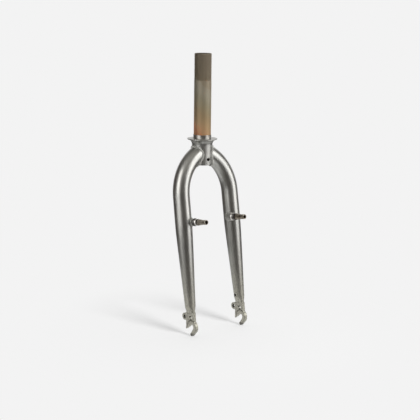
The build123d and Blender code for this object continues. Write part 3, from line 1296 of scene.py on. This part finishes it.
class Finish(Enum):
    """The fork's finishes."""

    PAINT = SilverPaint()
    SLEEVE_PAINT = SilverPaint(name="silver_paint_sleeve", gloss=0.4)
    # A lighter, rougher copy of the silver paint on the weld beads: painted highlight where the beads catch light.
    BEAD_PAINT = SilverPaint(
        name="silver_paint_bead", bright=tone(214, 213, 208), soft=tone(200, 200, 195), gloss=0.46,
    )
    # A darker copy of the silver paint for the bosses' faces and the studs' collars: painted shade.
    BOSS_PAINT = SilverPaint(
        name="silver_paint_boss", bright=tone(112, 109, 104), soft=tone(92, 90, 86), metal=0.7, gloss=0.46,
    )
    MATT_PAINT = SilverPaint(
        name="silver_paint_matt", bright=tone(172, 171, 165), soft=tone(156, 155, 149), metal=0.5, gloss=0.6,
    )
    # A much lighter copy of the silver paint on one band of each post: painted highlight.
    WORN_PAINT = SilverPaint(
        name="silver_paint_worn", bright=tone(234, 232, 226), soft=tone(222, 220, 214), gloss=0.36,
    )
    # The dropouts' paint carries grime and painted shade at the axle face, and painted shade at the hook's foot and
    # in the holes.
    DROPOUT_PAINT = SilverPaint(
        name="silver_paint_dropout",
        rim=11.3 * MM,
        holes=(
            (-27.402 * MM, -290.694 * MM, 2.75 * MM, 1.0),
            (-42.92 * MM, -289.906 * MM, 2.95 * MM, 0.1),
        ),
    )
    SEAT = TurnedSteel()
    STEERER = SteererSteel()
    STUD = StudSteel()
    # Painted shade inside tubes, bores and grooves.
    BORE = BoreShade()


class Dresser:
    """Gives pieces their finishes and puts them on the fork's body."""

    def __init__(self) -> None:
        """Make each finish's material once."""
        self.materials = {finish: finish.value.make() for finish in Finish}

    def paint(self, piece: bpy.types.Object, *finishes: Finish) -> None:
        """Give a new piece these finishes, in the order of its faces' numbers."""
        for finish in finishes:
            piece.data.materials.append(self.materials[finish])

    def coat(self, node: bpy.types.Object, finish: Finish) -> None:
        """Put a finish in each material slot of a CAD node."""
        for slot in node.material_slots:
            slot.material = self.materials[finish]

    def part_by(self, piece: bpy.types.Object, chosen: Array) -> None:
        """Give the chosen faces the piece's second finish."""
        piece.data.polygons.foreach_set("material_index", chosen.astype(np.int32))
        piece.data.update()

    def seat(self, piece: bpy.types.Object, slot: str, *nodes: str) -> None:
        """Put a piece on the fork.

        Args:
            piece: the new piece.
            slot: the record's material slot; not used.
            nodes: the CAD nodes that it stands for, if any.
        """
        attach(piece, "root")
        if nodes:
            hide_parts(*nodes)
        LOG.info("%s: %d faces", piece.name, len(piece.data.polygons))

    @staticmethod
    def centres(piece: bpy.types.Object) -> Array:
        """Find the middle of each face.

        Args:
            piece: the piece.

        Returns:
            The middles in metres, one row each.
        """
        middles = np.empty(len(piece.data.polygons) * 3)
        piece.data.polygons.foreach_get("center", middles)
        return middles.reshape(-1, 3)


@dataclass(frozen=True)
class SoftBox:
    """A soft lamp that faces the steering axis.

    Its turn is the angle to the right of the camera in degrees, its reach the level distance from the axis, its
    height that of its middle, and its aim the height on the axis that it faces. Lengths are in metres and the
    power in watts. It lights matt surfaces, is mirrored in bright metal, or both.
    """

    name: str
    turn: float
    reach: float
    height: float
    aim: float
    size: tuple[float, float]
    power: float
    lights: bool = False
    mirrored: bool = True

    def hang(self, front: float) -> None:
        """Hang the lamp.

        Args:
            front: the camera's azimuth.
        """
        data = bpy.data.lights.new(self.name, "AREA")
        data.shape = "RECTANGLE"
        data.size, data.size_y = self.size
        data.energy = self.power
        lamp = bpy.data.objects.new(self.name, data)
        level = Vector(outward(front + np.radians(self.turn), 0.0)) * self.reach
        lamp.location = level + Vector((0.0, 0.0, self.height))
        lamp.rotation_mode = "QUATERNION"
        lamp.rotation_quaternion = (Vector((0.0, 0.0, self.aim)) - lamp.location).to_track_quat("-Z", "Y")
        lamp.visible_camera = False
        lamp.visible_diffuse = self.lights
        lamp.visible_glossy = self.mirrored
        bpy.context.scene.collection.objects.link(lamp)


@dataclass
class Studio:
    """The pale floor, the soft lamps and the camera at the photograph's angle.

    The spans are where something fades: along the floor in metres from the axle, or along the cosine of an angle.
    table_dark, shadow_glow and fill_least are the values that their fades start from.
    """

    azimuth: float = np.radians(-38.504)
    elevation: float = np.radians(7.317)
    roll: float = np.radians(0.625)
    distance: float = 1.83084
    focal_px: float = 1100.0
    frame_px: float = 420.0
    aim_px: tuple[float, float] = (201.443, 138.273)
    floor: float = -0.3202
    floor_reach: float = 2.0
    floor_rings: int = 24
    floor_sides: int = 96
    axle_ahead: float = 0.047
    white: Colour = tone(243, 243, 243)
    dim: Colour = tone(68, 64, 60)
    ceiling: Colour = tone(112, 110, 106)
    near_ceiling: Colour = tone(180, 178, 173)
    front_turn: float = np.radians(18.0)
    front_span: tuple[float, float] = (0.26, 0.72)
    front_start: tuple[float, float] = (0.16, 0.27)
    table_span: tuple[float, float] = (0.3, 0.55)
    table_dark: float = 0.16
    shadow_span: tuple[float, float] = (0.05, 0.34)
    shadow_glow: float = 0.5
    edge_span: tuple[float, float] = (0.55, 1.6)
    fill_span: tuple[float, float] = (-0.6, 0.9)
    fill_least: float = 0.14
    roof_span: tuple[float, float] = (-0.5, 0.1)
    ceiling_span: tuple[float, float] = (0.35, 0.9)
    backdrop_span: tuple[float, float] = (0.64, 0.87)
    lamps: tuple[SoftBox, ...] = (
        SoftBox("right_box", 77.0, 0.9, 0.3, 0.3, (0.62, 0.84), 3.65),
        SoftBox("right_high_box", 56.0, 0.9, 0.42, 0.0, (0.2, 0.3), 0.45),
        SoftBox("right_low_box", 70.0, 0.9, -0.21, -0.21, (0.76, 0.18), 0.52),
        SoftBox("left_box", -42.0, 0.9, 0.38, 0.38, (0.55, 1.0), 4.1),
        SoftBox("right_top_box", 112.0, 0.7, 0.8, -0.1, (0.6, 0.5), 0.7),
        SoftBox("left_low_box", -62.0, 0.9, -0.22, -0.22, (0.5, 0.16), 0.32),
        SoftBox("key_lamp", 44.5, 3.2, 3.5, -0.25, (1.2, 1.2), 178.0, lights=True, mirrored=False),
    )

    def camera(self) -> None:
        """Set the camera so that the frame's origin falls on its place in the photograph.

        It looks at the origin from its azimuth and elevation, turns aside by the angles of that place, and rolls.
        """
        back = outward(self.azimuth, self.elevation)
        right = np.array([np.cos(self.azimuth), np.sin(self.azimuth), 0.0])
        base = np.stack([right, np.cross(back, right), back])
        across, down = ((aim - self.frame_px / 2) / self.focal_px for aim in self.aim_px)
        yaw, pitch = np.arctan(across), np.arctan2(-down, np.hypot(1.0, across))
        turn_yaw = np.array([[np.cos(yaw), 0, -np.sin(yaw)], [0, 1, 0], [np.sin(yaw), 0, np.cos(yaw)]])
        turn_pitch = np.array([[1, 0, 0], [0, np.cos(pitch), -np.sin(pitch)], [0, np.sin(pitch), np.cos(pitch)]])
        cosine, sine = np.cos(self.roll), np.sin(self.roll)
        turn_roll = np.array([[cosine, sine, 0], [-sine, cosine, 0], [0, 0, 1]])
        turned = turn_roll @ turn_yaw @ turn_pitch @ base
        data = bpy.data.cameras.new("photo_camera")
        data.sensor_width = 36.0
        data.lens = self.focal_px * data.sensor_width / self.frame_px
        camera = bpy.data.objects.new("photo_camera", data)
        camera.matrix_world = Matrix.LocRotScale(Vector(back * self.distance), Matrix(turned.T.tolist()), None)
        bpy.context.scene.collection.objects.link(camera)
        bpy.context.scene.camera = camera

    def lay_floor(self) -> None:
        """Lay a round pale table top that fades out at its edge and keeps the fork's soft shadow."""
        radii = np.linspace(0.0, self.floor_reach / MM, self.floor_rings + 1)[1:, None]
        angle = full_turn(self.floor_sides)[None]
        height = np.full((radii.shape[0], angle.shape[1]), self.floor / MM)
        skin = Skin()
        rings = skin.add(np.stack([radii * np.cos(angle), radii * np.sin(angle), height], axis=-1))
        skin.cover(rings)
        skin.cap(rings[0])
        floor = skin.build("pale_floor")
        floor.data.materials.append(self.floor_material())

    def floor_material(self) -> bpy.types.Material:
        """Build the floor's material: white to the camera with a share of real shading, and clear at its edge.

        Bright metal mirrors it pale near the feet, and dim further off and before the fork.

        Returns:
            The material.
        """
        material = bpy.data.materials.new("pale_floor")
        material.use_nodes = True
        nodes = NodeTree(material.node_tree)
        path = nodes.node("LightPath").outputs
        place = nodes.node("TexCoord").outputs["Object"]
        flat = nodes.vector("MULTIPLY_ADD", place, (1.0, 1.0, 0.0), (0.0, self.axle_ahead, 0.0))
        reach = nodes.measure("LENGTH", flat)
        front = tuple(outward(self.azimuth + self.front_turn, 0.0))
        ahead = nodes.measure("DOT_PRODUCT", nodes.vector("NORMALIZE", flat), front)
        before = nodes.times(nodes.fade(ahead, *self.front_span), nodes.fade(reach, *self.front_start))
        dark = nodes.math("MAXIMUM", before, nodes.fade(reach, *self.table_span, self.table_dark, 1.0))
        colour = nodes.mix(nodes.times(dark, path["Is Glossy Ray"]), self.white, self.dim)
        matt = nodes.node("BsdfDiffuse", colour).outputs["BSDF"]
        glow = nodes.node("Emission", self.white).outputs["Emission"]
        seen = nodes.times(path["Is Camera Ray"], nodes.fade(reach, *self.shadow_span, self.shadow_glow, 1.0))
        clear = nodes.node("BsdfTransparent").outputs["BSDF"]
        shown = nodes.blend(nodes.fade(reach, *self.edge_span), nodes.blend(seen, matt, glow), clear)
        nodes.node("OutputMaterial", shown)
        return material

    def room(self) -> None:
        """Build the room: a white backdrop, its fill on matt surfaces, and the dim hall that metal mirrors."""
        world = bpy.data.worlds.new("studio_room")
        bpy.context.scene.world = world
        world.use_nodes = True
        nodes = NodeTree(world.node_tree)
        path = nodes.node("LightPath").outputs
        way = nodes.node("TexCoord").outputs["Generated"]
        behind = nodes.measure("DOT_PRODUCT", way, tuple(-outward(self.azimuth, 0.0)))
        rise = nodes.node("SeparateXYZ", way).outputs["Z"]
        fill = nodes.node("Background", self.white, nodes.fade(behind, *self.fill_span, self.fill_least, 1.0))
        roof = nodes.mix(nodes.fade(behind, *self.roof_span), self.near_ceiling, self.ceiling)
        hall = nodes.mix(nodes.fade(rise, *self.ceiling_span), self.dim, roof)
        mirror = nodes.node("Background", nodes.mix(nodes.fade(behind, *self.backdrop_span), hall, self.white))
        backdrop = nodes.node("Background", self.white)
        bounced = nodes.blend(path["Is Glossy Ray"], fill.outputs["Background"], mirror.outputs["Background"])
        direct = nodes.math("MAXIMUM", path["Is Camera Ray"], path["Is Transmission Ray"])
        nodes.node("OutputWorld", nodes.blend(direct, bounced, backdrop.outputs["Background"]))

    def build(self) -> None:
        """Set up the camera, the room, the floor and the lamps."""
        bpy.context.scene.view_settings.view_transform = "Standard"
        self.camera()
        self.room()
        self.lay_floor()
        for lamp in self.lamps:
            lamp.hang(self.azimuth)


def main() -> None:
    """Build the fork's pieces in order, dress them and set up the studio."""
    logging.basicConfig(level=logging.INFO, format="%(name)s %(message)s")
    dresser = Dresser()

    steerer = Steerer()
    tube = steerer.build()
    dresser.paint(tube, Finish.STEERER, Finish.BORE)
    # The bore and the foot hidden in the sleeve take painted shade.
    middles = Dresser.centres(tube)
    inside = np.hypot(middles[:, 0], middles[:, 1]) < (steerer.bore + steerer.chamfer / 2.0) * MM
    dresser.part_by(tube, inside | (middles[:, 2] < 0.0))
    dresser.seat(tube, "steerer_steel", "steerer_tube")

    sleeve = CrownSleeve()
    turned = sleeve.build()
    dresser.paint(turned, Finish.SLEEVE_PAINT, Finish.SEAT)
    dresser.part_by(turned, Dresser.centres(turned)[:, 2] > sleeve.seat_foot * MM)
    dresser.seat(turned, "silver_paint", "crown_sleeve")

    for side in Side:
        blade = Blade(side)
        tube = blade.build()
        dresser.paint(tube, Finish.PAINT, Finish.BORE)
        dresser.seat(tube, "silver_paint", f"{side.word}_blade")
        for bead, finish in ((blade.crown_bead(), Finish.BEAD_PAINT), (blade.tip_braze(), Finish.PAINT)):
            dresser.paint(bead, finish)
            dresser.seat(bead, "silver_paint")
        post = BrakePost(side)
        # The left post's disc rim and the right post's stud lip take the painted highlight; the others take the
        # darker paint as painted shade.
        rim, lip = Finish.WORN_PAINT, Finish.BOSS_PAINT
        if side is Side.RIGHT:
            rim, lip = lip, rim
        boss = post.boss_piece()
        dresser.paint(boss, Finish.MATT_PAINT, rim, Finish.BOSS_PAINT)
        dresser.seat(boss, "silver_paint", f"{side.word}_brake_boss")
        bead = post.weld()
        dresser.paint(bead, Finish.BEAD_PAINT)
        dresser.seat(bead, "silver_paint")
        stud = post.stud_piece()
        dresser.paint(stud, Finish.STUD, Finish.BORE, Finish.BOSS_PAINT, lip)
        dresser.seat(stud, "stud_steel", f"{side.word}_brake_stud")
        dresser.coat(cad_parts[f"{side.word}_dropout"], Finish.DROPOUT_PAINT)

    Studio().build()


if __name__ == "__main__":
    main()
